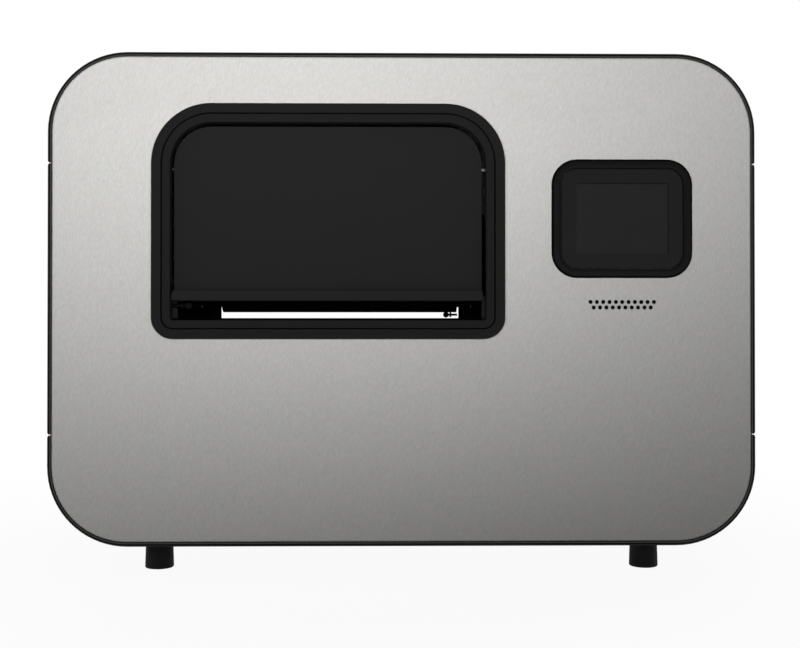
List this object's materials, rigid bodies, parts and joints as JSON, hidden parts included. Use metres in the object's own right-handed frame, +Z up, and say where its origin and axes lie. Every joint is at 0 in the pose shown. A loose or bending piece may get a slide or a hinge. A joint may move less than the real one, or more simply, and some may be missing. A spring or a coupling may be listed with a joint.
{
  "type": "braille embosser",
  "caption": "Free-standing braille embosser: rounded box with a brushed front plate, hinged paper flap, display, rear paper slot, pin-belt tractors and geared embossing drums.",
  "frame": {"origin": "on the floor under the middle of the machine", "axes": "+X to the right as seen from the front, the front plate faces -Y, +Z up"},
  "size_m": [0.782, 0.432, 0.5753],
  "materials": {
    "front_plate": "fine brushed",
    "rear_plate": "fine brushed",
    "shell": "satin",
    "rail": "mill",
    "foot_rubber": "matt",
    "bright_steel": "turned",
    "bezel": "satin",
    "flap": "satin",
    "black_metal": "satin",
    "frame_black": "dull black",
    "sheet_steel": "zinc grey",
    "screen_glass": "dark, gloss",
    "screen": "gloss",
    "cone": "paper cone",
    "board": "solder mask",
    "supply_case": "sheet",
    "black_plastic": "satin",
    "drum": "black oxide",
    "gear_brass": "cut",
    "pulley": "turned",
    "belt_rubber": "matt",
    "motor": "satin",
    "magnet": "varnished coils on a steel bar",
    "tractor": "moulded",
    "tractor_lid": "moulded",
    "sprocket": "natural"
  },
  "bodies": {
    "chassis": {"front_plate": "front_plate", "rear_plate": "rear_plate", "top_cover": "shell", "left_side_panel": "shell", "right_side_panel": "shell", "bottom_tray": "shell", "frame_rails": "rail", "rubber_feet": "foot_rubber", "foot_screws": "bright_steel", "window_bezel": "bezel", "flap_hinge_brackets": "black_metal", "flap_hinge_pins": "bright_steel", "flap_stop_brackets": "black_metal", "flap_stud": "foot_rubber", "display_bezel": "bezel", "display_glass": "screen_glass", "display_panel": "screen", "display_bracket": "sheet_steel", "speaker_basket": "black_metal", "speaker_cone": "cone", "control_board": "board", "data_ports": "bright_steel", "power_supply": "supply_case", "power_inlet": "black_plastic", "power_switch_body": "black_plastic", "base_plate": "sheet_steel", "left_frame": "frame_black", "right_frame": "frame_black", "tie_bars": "bright_steel", "shaft_bearings": "bright_steel", "drum_belt": "belt_rubber", "drum_motor": "motor", "upper_magnet_bank": "magnet", "lower_magnet_bank": "magnet", "guide_shaft": "bright_steel", "feed_belt": "belt_rubber", "feed_motor": "motor"},
    "flap": {"flap_panel": "flap", "flap_lip": "flap", "flap_hinge_arms": "black_metal"},
    "lower_drum": {"lower_drum": "drum", "lower_drum_gear": "gear_brass", "drum_pulley": "pulley"},
    "upper_drum": {"upper_drum": "drum", "upper_drum_gear": "gear_brass"},
    "drum_motor_pulley": {"drum_motor_pulley": "pulley"},
    "feed_shaft": {"feed_shaft": "bright_steel", "feed_pulley": "pulley"},
    "feed_motor_pulley": {"feed_motor_pulley": "pulley"},
    "left_tractor": {"left_tractor_body": "tractor", "left_tractor_belt": "belt_rubber"},
    "left_tractor_lid": {"left_tractor_lid": "tractor_lid"},
    "left_tractor_sprocket": {"left_tractor_sprocket": "sprocket"},
    "left_lock_lever": {"left_lock_lever": "black_plastic"},
    "right_tractor": {"right_tractor_body": "tractor", "right_tractor_belt": "belt_rubber"},
    "right_tractor_lid": {"right_tractor_lid": "tractor_lid"},
    "right_tractor_sprocket": {"right_tractor_sprocket": "sprocket"},
    "right_lock_lever": {"right_lock_lever": "black_plastic"},
    "power_rocker": {"power_rocker": "black_plastic"}
  },
  "joints": [
    {"name": "flap_hinge", "type": "hinge", "parent": "chassis", "child": "flap", "pos_m": [-0.0818, -0.19, 0.4487], "axis": [-1, 0, 0], "range_deg": [0, 85]},
    {"name": "drum_spin", "type": "hinge", "parent": "chassis", "child": "lower_drum", "pos_m": [0, 0, 0.312], "axis": [1, 0, 0], "continuous": true},
    {"name": "upper_drum_spin", "type": "hinge", "parent": "chassis", "child": "upper_drum", "pos_m": [0, 0, 0.3524], "axis": [1, 0, 0], "continuous": true},
    {"name": "drum_motor_spin", "type": "hinge", "parent": "chassis", "child": "drum_motor_pulley", "pos_m": [0, 0, 0.181], "axis": [1, 0, 0], "continuous": true},
    {"name": "feed_spin", "type": "hinge", "parent": "chassis", "child": "feed_shaft", "pos_m": [0, 0.12626, 0.3202], "axis": [1, 0, 0], "continuous": true},
    {"name": "feed_motor_spin", "type": "hinge", "parent": "chassis", "child": "feed_motor_pulley", "pos_m": [0, 0.12626, 0.2012], "axis": [1, 0, 0], "continuous": true},
    {"name": "left_tractor_slide", "type": "slide", "parent": "chassis", "child": "left_tractor", "axis": [1, 0, 0], "range_m": [0, 0.06]},
    {"name": "left_lid_hinge", "type": "hinge", "parent": "left_tractor", "child": "left_tractor_lid", "pos_m": [-0.2496, 0.093, 0.3347], "axis": [0, -1, 0], "range_deg": [0, 85]},
    {"name": "left_sprocket_spin", "type": "hinge", "parent": "left_tractor", "child": "left_tractor_sprocket", "pos_m": [-0.2406, 0.12626, 0.3202], "axis": [1, 0, 0], "continuous": true},
    {"name": "left_lock", "type": "hinge", "parent": "left_tractor", "child": "left_lock_lever", "pos_m": [-0.2276, 0.09, 0.3112], "axis": [1, 0, 0], "range_deg": [-50, 0]},
    {"name": "right_tractor_slide", "type": "slide", "parent": "chassis", "child": "right_tractor", "axis": [1, 0, 0], "range_m": [-0.18, 0]},
    {"name": "right_lid_hinge", "type": "hinge", "parent": "right_tractor", "child": "right_tractor_lid", "pos_m": [0.0864, 0.093, 0.3347], "axis": [0, 1, 0], "range_deg": [0, 85]},
    {"name": "right_sprocket_spin", "type": "hinge", "parent": "right_tractor", "child": "right_tractor_sprocket", "pos_m": [0.0774, 0.12626, 0.3202], "axis": [1, 0, 0], "continuous": true},
    {"name": "right_lock", "type": "hinge", "parent": "right_tractor", "child": "right_lock_lever", "pos_m": [0.0644, 0.09, 0.3112], "axis": [1, 0, 0], "range_deg": [0, 50]},
    {"name": "power_rock", "type": "hinge", "parent": "chassis", "child": "power_rocker", "pos_m": [0.237, 0.207, 0.1102], "axis": [1, 0, 0], "range_deg": [0, 20]}
  ],
  "couplings": [
    {"joint": "upper_drum_spin", "follows": "drum_spin", "ratio": -1},
    {"joint": "drum_motor_spin", "follows": "drum_spin", "ratio": 1},
    {"joint": "left_sprocket_spin", "follows": "feed_spin", "ratio": 1},
    {"joint": "right_sprocket_spin", "follows": "feed_spin", "ratio": 1},
    {"joint": "feed_motor_spin", "follows": "feed_spin", "ratio": 1}
  ]
}
